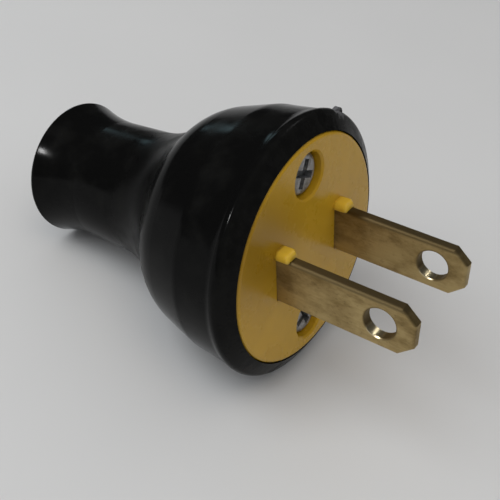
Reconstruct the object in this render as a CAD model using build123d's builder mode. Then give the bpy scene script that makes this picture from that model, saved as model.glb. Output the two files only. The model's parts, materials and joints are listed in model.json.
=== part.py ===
from build123d import *
import math
import os

# A two-blade wiring plug, lying on its side with the blades towards +X.
# Sizes are in millimetres and angles in degrees. A clearance is the room left on each side of a piece.
# A depth is measured back from the front of the face, along the plug's axis.

# Face plate
face_radius = 14.55
face_thickness = 3.2
face_edge_round = 0.5
face_proud = 0.75
seat_clearance = 0.1
lug_width = 2.3
lug_rise = 1.3
lug_height = 1.9
lug_top_round = 0.5
lug_overlap = 0.5
barrier_thickness = 1.6
barrier_clearance = 1.3
barrier_depth = 8.4

# Blades
blade_width = 6.35
blade_thickness = 1.4
blade_length = 17.85
blade_droop = 2.4
blade_edge_round = 0.35
blade_spacing = 12.7
blade_clearance = 0.05
blade_hole_diameter = 3.9
blade_hole_reach = 13.65
blade_hole_bevel = 0.1
tip_cut_across = 1.6
tip_cut_along = 1.8
tail_width = 8.4
tail_length = 8.6
tail_lap = 0.5
tail_corner_round = 1.2

# Terminal screws
terminal_inset = 4.8
terminal_thread_diameter = 3.0
terminal_shank_length = 5.2
terminal_head_diameter = 6.0
terminal_head_height = 1.7
terminal_head_round = 0.4
terminal_slot_width = 0.9
terminal_slot_depth = 0.8
thread_clearance = 0.05

# Face screws
screw_edge_distance = 4.35
screw_thread_diameter = 2.8
screw_length = 9.5
screw_head_diameter = 5.3
screw_head_height = 1.5
screw_head_round = 0.6
recess_diameter = 5.7
recess_floor = 1.2
recess_mouth = 0.25
screw_hole_diameter = 3.3
cross_length = 3.6
cross_width = 0.9
cross_depth = 1.0
cross_turn = -24

# Shell, outside, from the rim to the end of the neck
rim_wall = 1.65
bead_round = 0.85
bead_proud = 0.55
cove_round = 1.0
band_length = 4.6
band_taper = 0.25
band_rear_round = 4.0
cone_length = 4.8
cone_taper = 1.4
dome_round = 8.1
crook_round = 13.5
neck_radius = 8.35
neck_taper = 0.23
flare_length = 7.2
lip_radius = 9.2
lip_round = 0.6
shell_length = 38.6
rest_flat = 0.12
chip_angle = 62
chip_width = 1.6
chip_depth = 0.5
burr_angle = 57.5
burr_round = 0.9
burr_height = 0.4
burr_thickness = 0.6

# Shell, inside
ledge_width = 1.4
dome_wall = 2.2
cord_bore_diameter = 8.4
cord_mouth = 0.8
post_radius = 2.9
post_floor = 1.2
post_hole_room = 0.1
rib_thickness = 2.6
rib_width = 7.0
rib_clearance = 0.1

# Radii and depths along the outline.
# The bead runs into a cove, and that into the band: the cove starts at cove_angle round the bead.
seat_radius = face_radius + seat_clearance
band_front_radius = seat_radius + rim_wall
rim_radius = band_front_radius + bead_proud
bead_depth = face_proud + bead_round
cove_angle = math.acos(1 - bead_proud / (bead_round + cove_round))
cove_depth = bead_depth + (bead_round + cove_round) * math.sin(cove_angle)
band_rear_radius = band_front_radius - band_taper
band_rear_depth = cove_depth + band_length
dome_radius = band_rear_radius - cone_taper
dome_depth = band_rear_depth + cone_length

# Angles of the outline to the axis: along the cone before the dome, and where the dome turns into the neck
dome_slope = math.atan2(cone_taper, cone_length)
ogee_drop = dome_radius - neck_radius
ogee_rounds = dome_round + crook_round
crook_slope = math.acos((dome_round * math.cos(dome_slope) + crook_round - ogee_drop) / ogee_rounds)

# Centres of the outline's rounds, as radius and height along the axis
bead_centre = (rim_radius - bead_round, -bead_depth)
cove_centre = (band_front_radius + cove_round, -cove_depth)
lip_centre = (lip_radius - lip_round, lip_round - shell_length)
dome_centre = (
    dome_radius - dome_round * math.cos(dome_slope),
    dome_round * math.sin(dome_slope) - dome_depth,
)
crook_centre = (
    neck_radius + crook_round,
    dome_centre[1] - ogee_rounds * math.sin(crook_slope),
)

# Round at the back of the grip band, between the band's slope and the cone's
band_slope = math.atan2(band_taper, band_length)
rear_slope = (band_slope + dome_slope) / 2
rear_inset = band_rear_round / math.cos((dome_slope - band_slope) / 2)
rear_centre = (
    band_rear_radius - rear_inset * math.cos(rear_slope),
    rear_inset * math.sin(rear_slope) - band_rear_depth,
)


def lean_on(centre, radius):
    """Angle of the axis to the floor when the neck's lip and another round of the outline touch it."""
    rise = centre[0] - lip_centre[0]
    run = centre[1] - lip_centre[1]
    return math.atan2(rise, run) + math.asin((radius - lip_round) / math.hypot(rise, run))


# The plug lies on the lip of its neck and on whichever round of the head comes lowest.
# Both are pressed a little flat there, as a moulded shell is, so it doesn't roll.
# The floor is at Z = 0, and the origin is in the middle of the plug's length.
lean = max(lean_on(bead_centre, bead_round), lean_on(rear_centre, band_rear_round))
forward = (math.cos(lean), math.sin(lean))
lip_back = lip_centre[1] * forward[0] - lip_centre[0] * forward[1] - lip_round
blade_pitch = lean - math.radians(blade_droop)
tip_low = blade_width / 2 - tip_cut_across
tip_front = blade_length * math.cos(blade_pitch) + tip_low * math.sin(blade_pitch)
face_x = -(lip_back + tip_front) / 2
face_z = lip_round + lip_centre[0] * forward[0] - lip_centre[1] * forward[1] - rest_flat

# The face's own plane: its X runs across the two blades, its Y up the blades, its Z out of the face
face = Plane(origin=(face_x, 0, face_z), x_dir=(0, 1, 0), z_dir=(forward[0], 0, forward[1]))
axis = Axis(face.origin, face.z_dir)
# The plane square to the blades, which hang down a little from square to the face
blade_root = Plane(
    origin=face.origin,
    x_dir=face.x_dir,
    z_dir=(math.cos(blade_pitch), 0, math.sin(blade_pitch)),
)
# The plane of the turned outlines: X is the radius, Y the height along the axis
outline_plane = Plane(origin=face.origin, x_dir=face.x_dir, z_dir=-face.y_dir)

# Places on the face, and depths behind it
back = -face_thickness
blade_places = (-blade_spacing / 2, blade_spacing / 2)
terminal_depth = face_thickness + terminal_inset
screw_offset = face_radius - screw_edge_distance
screw_places = [(0, screw_offset), (0, -screw_offset)]
recess_depth = face_thickness - recess_floor
post_hole_depth = screw_length - recess_floor + post_hole_room
post_length = post_hole_depth + post_floor


def across(height):
    """Plane square to the axis, at a height along it."""
    return face.offset(height)


def dome_arcs(inset):
    """The dome and its sweep into the neck, as two arcs that lie inside the outline by an inset."""
    start = -math.degrees(dome_slope)
    end = -math.degrees(crook_slope)
    dome = CenterArc(dome_centre, dome_round - inset, start, end - start)
    crook = CenterArc(crook_centre, crook_round + inset, 180 + end, -end)
    return dome, crook


# Hollow of the shell, less what stands in it
chamber_radius = seat_radius - ledge_width
cord_radius = cord_bore_diameter / 2
throat_radius = neck_radius - dome_wall
cut_room = 2.0

with BuildPart() as chamber:
    with BuildSketch(outline_plane):
        with BuildLine():
            dome, crook = dome_arcs(dome_wall)
            Polyline(
                (0, cut_room),
                (seat_radius, cut_room),
                (seat_radius, back),
                (chamber_radius, back),
                dome @ 0,
            )
            Polyline(
                crook @ 1,
                (cord_radius, crook_centre[1] - (throat_radius - cord_radius)),
                (cord_radius, cord_mouth - shell_length),
                (cord_radius + cord_mouth, -shell_length),
                (cord_radius + cord_mouth, -shell_length - cut_room),
                (0, -shell_length - cut_room),
                (0, cut_room),
            )
        make_face()
    revolve(axis=axis)
    # Posts for the face screws, joined to the wall
    with BuildSketch(across(back)):
        with Locations(*screw_places):
            Circle(post_radius)
        with Locations((0, screw_offset + face_radius / 2), (0, -screw_offset - face_radius / 2)):
            Rectangle(2 * post_radius, face_radius)
    extrude(amount=-post_length, mode=Mode.SUBTRACT)
    # Ribs behind the blade tails
    with BuildSketch(across(back - tail_length - rib_clearance)):
        with Locations((blade_places[0], 0), (blade_places[1], 0)):
            Rectangle(rib_thickness, rib_width)
    extrude(amount=-shell_length, mode=Mode.SUBTRACT)

# Shell
with BuildPart() as shell:
    with BuildSketch(outline_plane):
        with BuildLine():
            turn = math.degrees(cove_angle)
            bead = CenterArc(bead_centre, bead_round, 90, -90 - turn)
            cove = CenterArc(cove_centre, cove_round, 180 - turn, turn)
            dome, crook = dome_arcs(0)
            FilletPolyline(
                cove @ 1,
                (band_rear_radius, -band_rear_depth),
                dome @ 0,
                radius=band_rear_round,
            )
            waist = (neck_radius - neck_taper, flare_length - shell_length)
            Line(crook @ 1, waist)
            lip = CenterArc(lip_centre, lip_round, 0, -90)
            TangentArc(waist, lip @ 0, tangent=(0, -1))
            Polyline(lip @ 1, (0, -shell_length), (0, -face_proud), bead @ 0)
        make_face()
    revolve(axis=axis)
    add(chamber.part, mode=Mode.SUBTRACT)
    with BuildSketch(across(back)):
        with Locations(*screw_places):
            Circle(screw_thread_diameter / 2 + thread_clearance)
    extrude(amount=-post_hole_depth, mode=Mode.SUBTRACT)
    # A chip out of the rim, and the burr that stands up beside it
    with BuildSketch(across(0)):
        with PolarLocations(rim_radius, 1, start_angle=chip_angle):
            Polygon((-chip_depth, 0), (chip_depth, -chip_width), (chip_depth, chip_width), align=None)
    extrude(amount=-cove_depth, mode=Mode.SUBTRACT)
    with BuildSketch(across(-bead_depth)):
        with PolarLocations(rim_radius + burr_height - burr_round, 1, start_angle=burr_angle):
            Circle(burr_round)
    extrude(amount=burr_thickness / 2, both=True)
    split(bisect_by=Plane.XY, keep=Keep.TOP)

# Face plate
with BuildPart() as face_plate:
    with BuildSketch(face):
        Circle(face_radius)
    extrude(amount=-face_thickness)
    fillet(face_plate.faces().sort_by(axis)[-1].edges(), face_edge_round)
    # Lugs that grip the top edge of each blade
    lug_y = blade_width / 2 - lug_overlap + lug_rise / 2
    with BuildSketch(face):
        with Locations((blade_places[0], lug_y), (blade_places[1], lug_y)):
            SlotOverall(lug_width, lug_rise)
    extrude(amount=lug_height)
    lug_tops = face_plate.faces().filter_by(face).group_by(axis)[-1]
    fillet(lug_tops.edges(), lug_top_round)
    # Barrier between the terminals
    barrier_reach = screw_offset - post_radius - barrier_clearance
    with BuildSketch(across(back)):
        Rectangle(barrier_thickness, 2 * barrier_reach)
    extrude(amount=-barrier_depth)
    with BuildSketch(blade_root.offset(lug_height)):
        with Locations((blade_places[0], 0), (blade_places[1], 0)):
            Rectangle(blade_thickness + 2 * blade_clearance, blade_width + 2 * blade_clearance)
    extrude(amount=2 * back - lug_height, mode=Mode.SUBTRACT)
    # Sunk screw holes with a bevelled mouth
    with BuildSketch(face):
        with Locations(*screw_places):
            Circle(recess_diameter / 2)
    extrude(amount=-recess_depth, mode=Mode.SUBTRACT)
    with BuildSketch(face):
        with Locations(*screw_places):
            Circle(screw_hole_diameter / 2)
    extrude(amount=back, mode=Mode.SUBTRACT)
    with BuildSketch(face):
        with Locations(*screw_places):
            Circle(recess_diameter / 2 + recess_mouth)
    extrude(amount=-recess_mouth, taper=45, mode=Mode.SUBTRACT)


def make_blade(place):
    """A stamped blade with eased edges, on a wider and squarer tail behind the face."""
    blade_side = Plane(
        origin=blade_root.from_local_coords((place, 0, 0)),
        x_dir=blade_root.z_dir,
        z_dir=-face.x_dir,
    )
    tail_side = Plane(origin=blade_side.origin, x_dir=face.z_dir, z_dir=-face.x_dir)
    half = blade_width / 2
    root = back - tail_lap
    cheek = blade_length - tip_cut_along
    with BuildPart() as blade:
        with BuildSketch(blade_side):
            with BuildLine():
                upper = Polyline((root, half), (cheek, half), (blade_length, tip_low), (blade_length, 0))
                mirror(upper, about=Plane.XZ)
                Line((root, half), (root, -half))
            make_face()
        extrude(amount=blade_thickness / 2, both=True)
        root_edges = blade.faces().sort_by(axis)[0].edges()
        fillet(blade.faces().filter_by(Axis.Y).edges() - root_edges, blade_edge_round)
        with BuildSketch(blade_side):
            with Locations((blade_hole_reach, 0)):
                Circle(blade_hole_diameter / 2)
        extrude(amount=blade_thickness / 2, both=True, mode=Mode.SUBTRACT)
        chamfer(blade.edges().filter_by(GeomType.CIRCLE).sort_by(SortBy.RADIUS)[-2:], blade_hole_bevel)
        with BuildSketch(tail_side):
            with Locations((back - tail_length / 2, 0)):
                Rectangle(tail_length, tail_width)
        extrude(amount=blade_thickness / 2, both=True)
        fillet(blade.edges().filter_by(Axis.Y).group_by(axis)[0], tail_corner_round)
        with BuildSketch(tail_side):
            with Locations((-terminal_depth, 0)):
                Circle(terminal_thread_diameter / 2 + thread_clearance)
        extrude(amount=blade_thickness / 2, both=True, mode=Mode.SUBTRACT)
    return blade.part


def make_terminal_screw(place):
    """A slotted binding screw, with its head on the blade's outer side."""
    out = math.copysign(1, place)
    seat = Plane(
        origin=face.from_local_coords((place + out * blade_thickness / 2, 0, -terminal_depth)),
        x_dir=face.z_dir,
        z_dir=face.x_dir * out,
    )
    with BuildPart() as screw:
        with BuildSketch(seat):
            Circle(terminal_head_diameter / 2)
        extrude(amount=terminal_head_height)
        fillet(screw.faces().sort_by(Axis(seat.origin, seat.z_dir))[-1].edges(), terminal_head_round)
        with BuildSketch(seat.offset(terminal_head_height)):
            Rectangle(terminal_head_diameter, terminal_slot_width)
        extrude(amount=-terminal_slot_depth, mode=Mode.SUBTRACT)
        with BuildSketch(seat):
            Circle(terminal_thread_diameter / 2)
        extrude(amount=-terminal_shank_length)
    return screw.part


def make_face_screw(place, turn):
    """A pan-head screw with a cross recess, sunk in the face and driven to some turn."""
    seat = Plane(
        origin=face.from_local_coords((place[0], place[1], -recess_depth)),
        x_dir=face.x_dir,
        z_dir=face.z_dir,
    )
    with BuildPart() as screw:
        with BuildSketch(seat):
            Circle(screw_head_diameter / 2)
        extrude(amount=screw_head_height)
        fillet(screw.faces().sort_by(axis)[-1].edges(), screw_head_round)
        with BuildSketch(seat.offset(screw_head_height)):
            Rectangle(cross_length, cross_width, rotation=turn)
            Rectangle(cross_width, cross_length, rotation=turn)
        extrude(amount=-cross_depth, mode=Mode.SUBTRACT)
        with BuildSketch(seat):
            Circle(screw_thread_diameter / 2)
        extrude(amount=-screw_length)
    return screw.part


pieces = {
    "shell": shell.part,
    "face_plate": face_plate.part,
    "blade_right": make_blade(blade_places[0]),
    "blade_left": make_blade(blade_places[1]),
    "terminal_screw_right": make_terminal_screw(blade_places[0]),
    "terminal_screw_left": make_terminal_screw(blade_places[1]),
    "face_screw_upper": make_face_screw(screw_places[0], cross_turn),
    "face_screw_lower": make_face_screw(screw_places[1], -cross_turn),
}

os.makedirs("parts", exist_ok=True)
for name, piece in pieces.items():
    piece.label = name
    export_step(piece, f"parts/{name}.step")
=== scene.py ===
import json
import math

import bpy
from mathutils import Matrix, Vector


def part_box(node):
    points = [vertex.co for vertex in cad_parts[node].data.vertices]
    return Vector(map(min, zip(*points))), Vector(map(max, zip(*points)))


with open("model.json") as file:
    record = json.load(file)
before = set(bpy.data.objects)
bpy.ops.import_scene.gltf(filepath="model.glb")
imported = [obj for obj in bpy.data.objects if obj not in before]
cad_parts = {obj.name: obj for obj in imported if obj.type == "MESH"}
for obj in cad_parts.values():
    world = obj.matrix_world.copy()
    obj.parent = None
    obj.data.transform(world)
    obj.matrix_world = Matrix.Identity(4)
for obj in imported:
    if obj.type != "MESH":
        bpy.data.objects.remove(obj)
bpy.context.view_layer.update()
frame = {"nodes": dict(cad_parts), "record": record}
nodes = frame["nodes"]
mounts = {mount["name"]: mount for mount in frame["record"]["mounts"]}

# Lengths are in metres and angles in radians, unless a line says otherwise
MM = 0.001

# Places on the plug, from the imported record. Heights are measured out of the face, along the plug's axis.
face_centre = Vector(mounts["blades"]["pos_m"])
out = -Vector(mounts["cord_entry"]["axis"])
lean = math.asin(out.z)
blade_axis = Vector(mounts["blades"]["axis"])
blade_pitch = math.asin(blade_axis.z)
rim_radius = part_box("shell")[1][1]
hole_reach = (Vector(mounts["blade_holes"]["pos_m"]) - face_centre).dot(blade_axis)
hole_radius = mounts["blade_holes"]["dims"]["r_mm"] * MM

# The bead at the rim has a round section
bead_round = 0.85 * MM
bead_radius = rim_radius - bead_round
bead_height = -1.6 * MM


class Nodes:
    """A node tree in the making: each method adds nodes, and most give back a socket."""

    def __init__(self, tree):
        self.tree = tree

    def node(self, kind, **settings):
        made = self.tree.nodes.new(kind)
        for key, value in settings.items():
            setattr(made, key, value)
        return made

    def feed(self, socket, value):
        """Links a socket to another, or sets its value."""
        if isinstance(value, bpy.types.NodeSocket):
            self.tree.links.new(value, socket)
        else:
            socket.default_value = value

    def maths(self, operation, first, second=0.0):
        made = self.node("ShaderNodeMath", operation=operation)
        self.feed(made.inputs[0], first)
        self.feed(made.inputs[1], second)
        return made.outputs["Value"]

    def vector(self, operation, first, second=(0, 0, 0)):
        """The node of a sum on vectors."""
        made = self.node("ShaderNodeVectorMath", operation=operation)
        self.feed(made.inputs[0], first)
        self.feed(made.inputs[1], second)
        return made


class Finish(Nodes):
    """A procedural material in the making."""

    def __init__(self, name, pitch=lean, **values):
        self.material = bpy.data.materials.new(name)
        self.material.use_nodes = True
        super().__init__(self.material.node_tree)
        self.shader = self.tree.nodes["Principled BSDF"]
        for socket, value in values.items():
            self.shader.inputs[socket.replace("_", " ")].default_value = value
        self.local = self.plug_coordinates(pitch)

    def plug_coordinates(self, pitch):
        """Coordinates from the face's centre: X climbs by a pitch, Y is across the blades, Z up."""
        place = self.node("ShaderNodeTexCoord")
        turn = self.node("ShaderNodeMapping", vector_type="TEXTURE")
        turn.inputs["Location"].default_value = face_centre
        turn.inputs["Rotation"].default_value = (0, -pitch, 0)
        self.feed(turn.inputs["Vector"], place.outputs["Object"])
        return turn.outputs["Vector"]

    def noise(self, size, detail=3.0, roughness=0.5, stretch=(1, 1, 1)):
        """Noise with features of about a size, drawn out along the plug's axes by a stretch."""
        scaled = self.node("ShaderNodeMapping")
        self.feed(scaled.inputs["Vector"], self.local)
        scaled.inputs["Scale"].default_value = [1 / (size * s) for s in stretch]
        made = self.node("ShaderNodeTexNoise")
        self.feed(made.inputs["Vector"], scaled.outputs["Vector"])
        made.inputs["Scale"].default_value = 1.0
        made.inputs["Detail"].default_value = detail
        made.inputs["Roughness"].default_value = roughness
        return made.outputs["Fac"]

    def span(self, value, low, high, to_low=0.0, to_high=1.0):
        """A smooth step: to_low where the value is below low, to_high where it is above high."""
        made = self.node("ShaderNodeMapRange", clamp=True, interpolation_type="SMOOTHSTEP")
        self.feed(made.inputs["Value"], value)
        limits = {"From Min": low, "From Max": high, "To Min": to_low, "To Max": to_high}
        for key, number in limits.items():
            made.inputs[key].default_value = number
        return made.outputs["Result"]

    def blend(self, factor, first, second):
        """A colour from first, at factor 0, to second, at factor 1."""
        made = self.node("ShaderNodeMix", data_type="RGBA")
        self.feed(made.inputs[0], factor)
        # The node has sockets of one name for each kind of data: these are the places of its colours
        for place, colour in ((6, first), (7, second)):
            value = colour if isinstance(colour, bpy.types.NodeSocket) else (*colour, 1)
            self.feed(made.inputs[place], value)
        return made.outputs[2]

    def axis_value(self, axis):
        made = self.node("ShaderNodeSeparateXYZ")
        self.feed(made.inputs["Vector"], self.local)
        return made.outputs[axis]

    def radius(self):
        """Distance from the plug's axis."""
        flat = self.vector("MULTIPLY", self.local, (0, 1, 1))
        return self.vector("LENGTH", flat.outputs["Vector"]).outputs["Value"]

    def distance(self, point):
        """Distance from a point in the plug's coordinates."""
        return self.vector("DISTANCE", self.local, point).outputs["Value"]

    def bump(self, height, strength, distance):
        made = self.node("ShaderNodeBump")
        made.inputs["Strength"].default_value = strength
        made.inputs["Distance"].default_value = distance
        self.feed(made.inputs["Height"], height)
        self.feed(self.shader.inputs["Normal"], made.outputs["Normal"])

    def set(self, socket, value):
        self.feed(self.shader.inputs[socket], value)


def black_plastic():
    """Glossy moulded black: smudged, dusty where dome meets neck, worn at the rim, scuffed at its chip."""
    finish = Finish("black_plastic", IOR=1.5, Specular_IOR_Level=0.05)
    height = finish.axis_value("X")
    smudge = finish.span(finish.noise(5 * MM, detail=4, roughness=0.6), 0.42, 0.72)
    clean = finish.blend(smudge, (0.004, 0.004, 0.0039), (0.0075, 0.0075, 0.007))

    rim_front = finish.span(height, bead_height, -0.8 * MM)
    wear = finish.span(finish.noise(1.2 * MM, detail=4, roughness=0.6), 0.3, 0.7, 0.4, 1.0)
    worn = finish.maths("MULTIPLY", rim_front, wear)
    colour = finish.blend(worn, clean, (0.009, 0.009, 0.0085))

    chip_angle = math.radians(59)
    chip = (bead_height, rim_radius * math.cos(chip_angle), rim_radius * math.sin(chip_angle))
    fray = finish.span(finish.noise(0.6 * MM, detail=3, roughness=0.6), 0.3, 0.7, 0, 1.0 * MM)
    ragged = finish.maths("ADD", finish.distance(chip), fray)
    scuff = finish.span(ragged, 0.9 * MM, 2.0 * MM, 1, 0)
    finish.set("Base Color", finish.blend(scuff, colour, (0.12, 0.12, 0.125)))

    before_neck = finish.span(height, -27 * MM, -22 * MM)
    after_dome = finish.span(height, -17 * MM, -13 * MM, 1, 0)
    dust = finish.maths("MULTIPLY", before_neck, after_dome)
    gloss_loss = finish.maths("ADD", finish.maths("ADD", smudge, worn), dust)
    finish.set("Roughness", finish.span(gloss_loss, 0, 2, 0.14, 0.42))
    finish.bump(finish.noise(0.4 * MM, detail=2), strength=0.06, distance=0.02 * MM)
    return finish.material


def yellow_plastic():
    """Mustard yellow moulding, darker in a ring at its edge, with painted shade beside the blade on the -Y
    side and a painted highlight on the lugs.
    """
    finish = Finish("yellow_plastic", IOR=1.5, Specular_IOR_Level=0.38)
    mottle = finish.noise(5 * MM, detail=4, roughness=0.6)
    clean = finish.blend(finish.span(mottle, 0.35, 0.7), (0.55, 0.316, 0.015), (0.605, 0.355, 0.022))

    # Painted shade: darker mustard round a place on the face just outside the blade on the -Y side, 5.5 mm up
    painted_shade_centre = (0, -10 * MM, 5.5 * MM)
    painted_shade = finish.span(finish.distance(painted_shade_centre), 1.5 * MM, 10 * MM, 0.85, 0)
    with_painted_shade = finish.blend(painted_shade, clean, (0.3, 0.162, 0.008))
    # Darker in a ring at the face's edge, next to the rim
    edge = finish.span(finish.radius(), 13.6 * MM, 14.6 * MM, 0, 0.15)
    with_dark_edge = finish.blend(edge, with_painted_shade, (0.36, 0.19, 0.012))
    # Painted highlight: whatever stands more than 0.4 mm out of the face, the lugs, is painted a lighter
    # yellow
    painted_lug_highlight = finish.span(finish.axis_value("X"), 0.4 * MM, 0.7 * MM)
    finish.set("Base Color", finish.blend(painted_lug_highlight, with_dark_edge, (0.74, 0.47, 0.04)))

    finish.set("Roughness", finish.span(mottle, 0.3, 0.7, 0.24, 0.34))
    finish.bump(finish.noise(0.6 * MM, detail=2), strength=0.1, distance=0.03 * MM)
    return finish.material


def tarnished_brass():
    """Stamped brass with drawn lines, brown patches and specks, painted shade in its holes' walls and along
    its top edge, and a painted glint low in each hole.
    """
    finish = Finish("tarnished_brass", pitch=blade_pitch, Metallic=1.0)
    lines = finish.noise(0.25 * MM, detail=3, roughness=0.6, stretch=(30, 1, 1))
    blotches = finish.noise(3.5 * MM, detail=5, roughness=0.65, stretch=(2, 1, 1))
    patches = finish.span(blotches, 0.4, 0.7)
    specks = finish.span(finish.noise(0.45 * MM, detail=2, stretch=(1.5, 1, 1)), 0.6, 0.75, 0, 0.3)
    bright = finish.blend(lines, (0.405, 0.304, 0.133), (0.53, 0.405, 0.198))
    dull = finish.blend(patches, bright, (0.27, 0.19, 0.078))
    specked = finish.blend(specks, dull, (0.16, 0.11, 0.05))

    from_hole = finish.vector("SUBTRACT", finish.local, (hole_reach, 0, 0)).outputs["Vector"]
    flat = finish.vector("MULTIPLY", from_hole, (1, 0, 1)).outputs["Vector"]
    from_hole_axis = finish.vector("LENGTH", flat).outputs["Value"]
    # Painted shade: the holes' walls and a band along the top edge are painted a darker brass
    wall = finish.span(from_hole_axis, hole_radius + 0.03 * MM, hole_radius + 0.3 * MM, 1, 0)
    top_edge = finish.span(finish.axis_value("Z"), 2.5 * MM, 2.9 * MM)
    edge = finish.maths("MAXIMUM", wall, top_edge)
    with_painted_edge_shade = finish.blend(edge, specked, (0.25, 0.188, 0.092))

    # Painted highlight: a glint of light brass low on each hole's wall, on the side towards the face, which
    # is also less rough
    painted_glint_centre = (-0.7 * MM, 0, -1.8 * MM)
    from_painted_glint = finish.vector("DISTANCE", flat, painted_glint_centre).outputs["Value"]
    painted_glint = finish.maths("MULTIPLY", wall, finish.span(from_painted_glint, 0.6 * MM, 1.3 * MM, 1, 0))
    finish.set("Base Color", finish.blend(painted_glint, with_painted_edge_shade, (0.9, 0.78, 0.5)))

    # Rougher on the brown patches and the painted-shade edges, smoother at the painted glint
    patches_and_shaded_edges = finish.maths("MAXIMUM", patches, edge)
    dullness = finish.maths("SUBTRACT", patches_and_shaded_edges, finish.maths("MULTIPLY", painted_glint, 2))
    finish.set("Roughness", finish.span(dullness, -1, 1, 0.33, 0.68))
    finish.bump(lines, strength=0.2, distance=0.03 * MM)
    return finish.material


def turned_brass():
    """Cleaner brass of the terminal screws."""
    finish = Finish("turned_brass", Metallic=1.0)
    cloud = finish.noise(1.5 * MM, detail=4, roughness=0.6)
    finish.set("Base Color", finish.blend(cloud, (0.5, 0.36, 0.15), (0.7, 0.53, 0.25)))
    finish.set("Roughness", finish.span(cloud, 0.3, 0.7, 0.25, 0.4))
    finish.bump(finish.noise(0.2 * MM, detail=2), strength=0.15, distance=0.02 * MM)
    return finish.material


def zinc_plate():
    """Zinc dulled by a cloudy bloom."""
    finish = Finish("zinc_plate", Metallic=0.75)
    cloud = finish.noise(0.9 * MM, detail=4, roughness=0.6)
    bloom = finish.span(cloud, 0.35, 0.65)
    finish.set("Base Color", finish.blend(bloom, (0.22, 0.22, 0.215), (0.5, 0.51, 0.53)))
    finish.set("Roughness", finish.span(cloud, 0.3, 0.7, 0.36, 0.52))
    finish.bump(finish.noise(0.15 * MM, detail=2), strength=0.15, distance=0.015 * MM)
    return finish.material


def dress(material, *names):
    for name in names:
        slots = nodes[name].data.materials
        slots.clear()
        slots.append(material)


def push(name, amount, outward=False):
    """Moves a piece's skin along the plug's axis, or away from it, by an amount made of height and radius."""
    group = bpy.data.node_groups.new(name + "_" + amount.__name__, "GeometryNodeTree")
    for way in ("INPUT", "OUTPUT"):
        group.interface.new_socket("Geometry", in_out=way, socket_type="NodeSocketGeometry")
    graph = Nodes(group)
    place = graph.node("GeometryNodeInputPosition").outputs["Position"]
    local = graph.vector("SUBTRACT", place, face_centre).outputs["Vector"]
    height = graph.vector("DOT_PRODUCT", local, out).outputs["Value"]
    along = graph.vector("SCALE", out)
    graph.feed(along.inputs["Scale"], height)
    away = graph.vector("SUBTRACT", local, along.outputs["Vector"]).outputs["Vector"]
    radius = graph.vector("LENGTH", away).outputs["Value"]
    unit = graph.vector("NORMALIZE", away).outputs["Vector"] if outward else out
    offset = graph.vector("SCALE", unit)
    graph.feed(offset.inputs["Scale"], amount(graph, height, radius))
    moved = graph.node("GeometryNodeSetPosition")
    graph.feed(moved.inputs["Geometry"], graph.node("NodeGroupInput").outputs[0])
    graph.feed(moved.inputs["Offset"], offset.outputs["Vector"])
    graph.feed(graph.node("NodeGroupOutput").inputs[0], moved.outputs["Geometry"])
    nodes[name].modifiers.new(amount.__name__, "NODES").node_group = group


# In the photograph the rim's front slopes back from the face, the cove behind the bead is shallower and the
# face stands further out than in the solids: these three amounts make up for it
rim_slope = math.radians(30)
band_slope = math.radians(8.6)
cove_depth = 0.35 * MM
cove_share = 0.65
rest_height = -6 * MM
face_step = -0.6 * MM
face_lift = 0.3 * MM


def rim_cone(graph, height, radius):
    """Up to a cone that touches the bead."""
    apex = bead_height + bead_round / math.cos(rim_slope) + bead_radius * math.tan(rim_slope)
    cone = graph.maths("SUBTRACT", apex, graph.maths("MULTIPLY", radius, math.tan(rim_slope)))
    rise = graph.maths("MAXIMUM", graph.maths("SUBTRACT", cone, height), 0.0)
    front = graph.maths("GREATER_THAN", height, bead_height + bead_round * math.cos(rim_slope))
    return graph.maths("MULTIPLY", rise, front)


def cove_fill(graph, height, radius):
    """Most of the way out to a cone that touches the bead from behind, clear of the flat that it rests on."""
    start = bead_radius + bead_round / math.cos(band_slope) - bead_height * math.tan(band_slope)
    cone = graph.maths("ADD", start, graph.maths("MULTIPLY", height, math.tan(band_slope)))
    gap = graph.maths("MAXIMUM", graph.maths("SUBTRACT", cone, radius), 0.0)
    fill = graph.maths("MULTIPLY", graph.maths("MINIMUM", gap, cove_depth), cove_share)
    outside = graph.maths("GREATER_THAN", radius, bead_radius - bead_round)
    behind = graph.maths("LESS_THAN", height, bead_height - bead_round * math.sin(band_slope))
    clear = graph.maths("GREATER_THAN", height, rest_height)
    for limit in (outside, behind, clear):
        fill = graph.maths("MULTIPLY", fill, limit)
    return fill


def face_front(graph, height, radius):
    """The front of the face, with its lugs and the mouths of its recesses."""
    return graph.maths("MULTIPLY", graph.maths("GREATER_THAN", height, face_step), face_lift)


push("shell", rim_cone)
push("shell", cove_fill, outward=True)
push("face_plate", face_front)

dress(black_plastic(), "shell")
dress(yellow_plastic(), "face_plate")
dress(tarnished_brass(), "blade_right", "blade_left")
dress(turned_brass(), "terminal_screw_right", "terminal_screw_left")
dress(zinc_plate(), "face_screw_upper", "face_screw_lower")


def add_floor():
    """A plain pale table top."""
    half = 1.5
    corners = [(-half, -half, 0), (half, -half, 0), (half, half, 0), (-half, half, 0)]
    mesh = bpy.data.meshes.new("floor")
    mesh.from_pydata(corners, [], [(0, 1, 2, 3)])
    floor = bpy.data.objects.new("floor", mesh)
    bpy.context.scene.collection.objects.link(floor)
    finish = Finish("pale_table", IOR=1.4, Roughness=0.6)
    cloud = finish.noise(30 * MM)
    finish.set("Base Color", finish.blend(cloud, (0.65, 0.65, 0.645), (0.68, 0.68, 0.675)))
    mesh.materials.append(finish.material)


def direction(azimuth, elevation):
    """Unit vector towards a place round the object: azimuth 0 is -Y, 90 is +X, in degrees."""
    a = math.radians(azimuth)
    e = math.radians(elevation)
    return Vector((math.sin(a) * math.cos(e), -math.cos(a) * math.cos(e), math.sin(e)))


lamp_distance = 0.6


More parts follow.
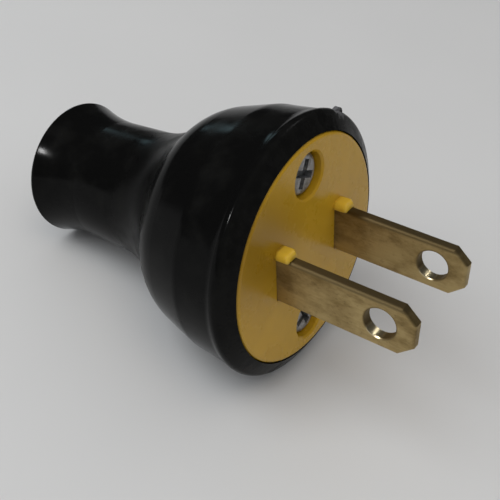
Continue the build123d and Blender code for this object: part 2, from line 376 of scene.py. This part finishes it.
def add_light(name, azimuth, elevation, size, watts, colour=(1, 1, 1), lights=True, mirrored=True):
    """A rectangular lamp that points at the plug: it lights surfaces, is mirrored by glossy ones, or both."""
    lamp = bpy.data.lights.new(name, "AREA")
    lamp.shape = "RECTANGLE"
    lamp.size, lamp.size_y = size
    lamp.energy = watts
    lamp.color = colour
    light = bpy.data.objects.new(name, lamp)
    towards = direction(azimuth, elevation)
    light.location = towards * lamp_distance
    light.rotation_mode = "QUATERNION"
    light.rotation_quaternion = towards.to_track_quat("Z", "Y")
    light.visible_diffuse = lights
    light.visible_glossy = mirrored
    bpy.context.scene.collection.objects.link(light)


def add_world():
    """An even soft sky to light by, and a dark room for the glossy surfaces to mirror."""
    world = bpy.data.worlds.new("room")
    world.use_nodes = True
    bpy.context.scene.world = world
    tree = world.node_tree
    sky = tree.nodes["Background"]
    place = tree.nodes.new("ShaderNodeTexCoord")
    parts = tree.nodes.new("ShaderNodeSeparateXYZ")
    ramp = tree.nodes.new("ShaderNodeValToRGB")
    ramp.color_ramp.elements[0].color = (0.245, 0.248, 0.256, 1)
    ramp.color_ramp.elements[1].color = (0.585, 0.59, 0.6, 1)
    tree.links.new(place.outputs["Generated"], parts.inputs["Vector"])
    tree.links.new(parts.outputs["Z"], ramp.inputs["Fac"])
    tree.links.new(ramp.outputs["Color"], sky.inputs["Color"])
    path = tree.nodes.new("ShaderNodeLightPath")
    dim = tree.nodes.new("ShaderNodeMapRange")
    sky_strength = 1.0
    mirrored_strength = 0.06
    dim.inputs["To Min"].default_value = sky_strength
    dim.inputs["To Max"].default_value = mirrored_strength
    tree.links.new(path.outputs["Is Glossy Ray"], dim.inputs["Value"])
    tree.links.new(dim.outputs["Result"], sky.inputs["Strength"])


add_floor()
add_world()
cool = (0.94, 0.97, 1.0)
warm = (1.0, 0.86, 0.7)
teal = (0.6, 0.9, 1.0)
add_light("front_soft", -38, 54, size=(0.35, 0.35), watts=1.6, colour=cool, mirrored=False)
add_light("top_soft", 40, 76, size=(0.3, 0.3), watts=0.38, colour=warm, mirrored=False)
add_light("front_lamp", -27, 37, size=(0.045, 0.06), watts=1.4, lights=False)
add_light("back_window", -122, 15.5, size=(0.055, 0.12), watts=0.045, colour=teal, lights=False)
add_light("back_lamp", 172, 49, size=(0.06, 0.06), watts=0.15, lights=False)


def add_camera():
    """The photograph's viewpoint: close and from above, rolled a little. Its angles are in degrees."""
    azimuth = 28.949
    elevation = 41.610
    roll = -10.717
    lens = bpy.data.cameras.new("camera")
    lens.sensor_width = 36.0
    lens.lens = 62.17
    lens.clip_start = 5 * MM
    camera = bpy.data.objects.new("camera", lens)
    camera.location = Vector((42.921, -72.030, 85.073)) * MM
    level = (-direction(azimuth, elevation)).to_track_quat("-Z", "Y")
    turn = Matrix.Rotation(math.radians(-roll), 4, "Z").to_quaternion()
    camera.rotation_mode = "QUATERNION"
    camera.rotation_quaternion = level @ turn
    bpy.context.scene.collection.objects.link(camera)
    bpy.context.scene.camera = camera


add_camera()
bpy.context.scene.view_settings.view_transform = "Standard"
